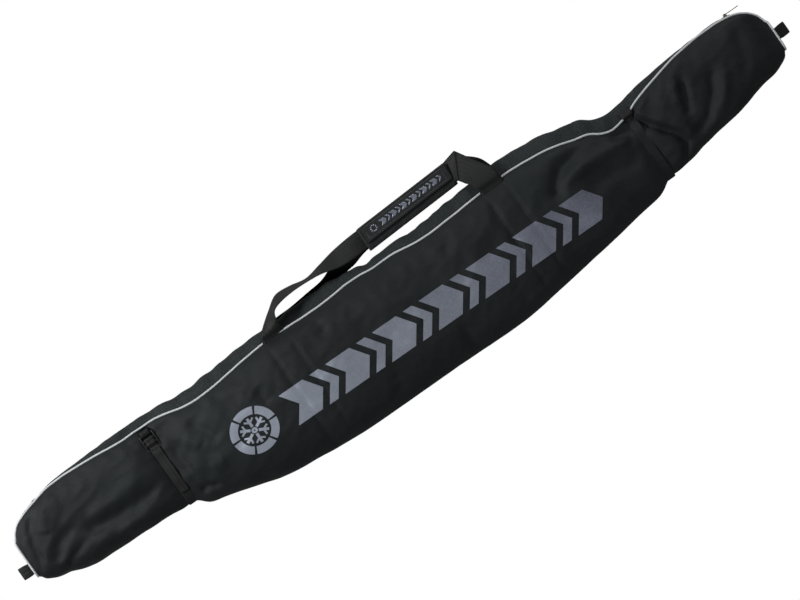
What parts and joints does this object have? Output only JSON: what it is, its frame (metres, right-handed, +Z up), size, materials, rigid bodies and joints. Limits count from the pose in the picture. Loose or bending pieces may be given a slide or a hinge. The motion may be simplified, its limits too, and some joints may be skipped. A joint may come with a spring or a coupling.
{
  "type": "ski bag",
  "caption": "Long soft carrying bag for skis, with a zipped mouth along one side, padded carrying handles, compression straps and end loops.",
  "frame": {"origin": "On the flat underside of the back panel that the bag lies on, midway between the two end walls and on the bag's long axis", "axes": "+X along the bag from tail to tip, +Y towards the zip and the handles, +Z up out of the front panel"},
  "size_m": [1.7766, 0.3357, 0.1089],
  "materials": {
    "cloth": "woven, coated, slight sheen",
    "gusset_cloth": "woven, matt",
    "webbing": "ribbed webbing",
    "piping": "silver woven tape",
    "padding": "padded cloth",
    "hook_loop": "hook and loop tape",
    "zip_tape": "woven tape",
    "zip_teeth": "nylon coil",
    "zip_metal": "worn nickel",
    "buckle": "moulded, fine grain"
  },
  "bodies": {
    "bag": {"back_panel": "cloth", "front_panel": "cloth", "back_gusset": "gusset_cloth", "front_gusset_ends": "gusset_cloth", "tail_end_wall": "gusset_cloth", "tip_end_wall": "gusset_cloth", "zip_end_covers": "gusset_cloth", "front_piping_ends": "piping", "back_piping": "piping", "zip_tape_back": "zip_tape", "zip_tape_front_ends": "zip_tape", "zip_teeth_back": "zip_teeth", "zip_teeth_front_ends": "zip_teeth", "zip_stops": "zip_metal", "handle_band_lower": "webbing", "handle_band_back": "webbing", "tail_strap": "webbing", "buckle_anchor": "webbing", "tip_strap": "webbing", "tip_strap_tab": "webbing"},
    "mouth_flap": {"front_panel_flap": "cloth", "front_gusset_flap": "gusset_cloth", "front_piping_flap": "piping", "zip_tape_front_flap": "zip_tape", "zip_teeth_front_flap": "zip_teeth", "handle_band_upper": "webbing"},
    "slider": {"zip_slider": "zip_metal"},
    "pull": {"zip_pull": "zip_metal"},
    "front_handle": {"handle_front": "webbing", "grip_sleeve": "padding", "grip_loop_strip": "hook_loop"},
    "back_handle": {"handle_back": "webbing"},
    "grip_closure": {"grip_flap": "padding", "grip_hook_strip": "hook_loop"},
    "buckle": {"tail_buckle": "buckle", "buckle_weave": "webbing"},
    "strap_end": {"tail_strap_end": "webbing"},
    "tail_grab_loop": {"tail_loop": "webbing"},
    "tip_grab_loop": {"tip_loop": "webbing"}
  },
  "joints": [
    {"name": "mouth_open", "type": "hinge", "parent": "bag", "child": "mouth_flap", "pos_m": [0, -0.035, 0.109], "axis": [1, 0, 0], "range_deg": [0, 100]},
    {"name": "zip_slide", "type": "slide", "parent": "bag", "child": "slider", "axis": [1, 0, 0], "range_m": [-1.575, 0]},
    {"name": "pull_turn", "type": "hinge", "parent": "slider", "child": "pull", "pos_m": [0.804, 0.1019, 0.036], "axis": [0, 0, 1], "range_deg": [0, 180]},
    {"name": "front_handle_lift", "type": "hinge", "parent": "mouth_flap", "child": "front_handle", "pos_m": [0.01, 0.087, 0.0962], "axis": [1, 0, 0], "range_deg": [0, 60]},
    {"name": "back_handle_lift", "type": "hinge", "parent": "bag", "child": "back_handle", "pos_m": [0.01, 0.087, 0.0962], "axis": [1, 0, 0], "range_deg": [0, 60]},
    {"name": "grip_unwrap", "type": "hinge", "parent": "front_handle", "child": "grip_closure", "pos_m": [0.106, 0.1685, 0.0653], "axis": [-1, 0, 0], "range_deg": [0, 150]},
    {"name": "buckle_tilt", "type": "hinge", "parent": "bag", "child": "buckle", "pos_m": [-0.541, 0.077, 0.0777], "axis": [-1, 0, 0], "range_deg": [0, 35]},
    {"name": "strap_end_lift", "type": "hinge", "parent": "bag", "child": "strap_end", "pos_m": [-0.541, 0.0413, 0.0766], "axis": [-1, 0, 0], "range_deg": [0, 60]},
    {"name": "tail_loop_turn", "type": "hinge", "parent": "bag", "child": "tail_grab_loop", "pos_m": [-0.8623, -0.007, 0.0361], "axis": [0, 1, 0], "range_deg": [0, 45]},
    {"name": "tip_loop_turn", "type": "hinge", "parent": "bag", "child": "tip_grab_loop", "pos_m": [0.8623, 0.016, 0.0361], "axis": [0, -1, 0], "range_deg": [0, 45]}
  ],
  "couplings": [
    {"joint": "zip_slide", "follows": "mouth_open", "m_per_rad": -0.9},
    {"joint": "back_handle_lift", "follows": "front_handle_lift", "ratio": 1}
  ]
}
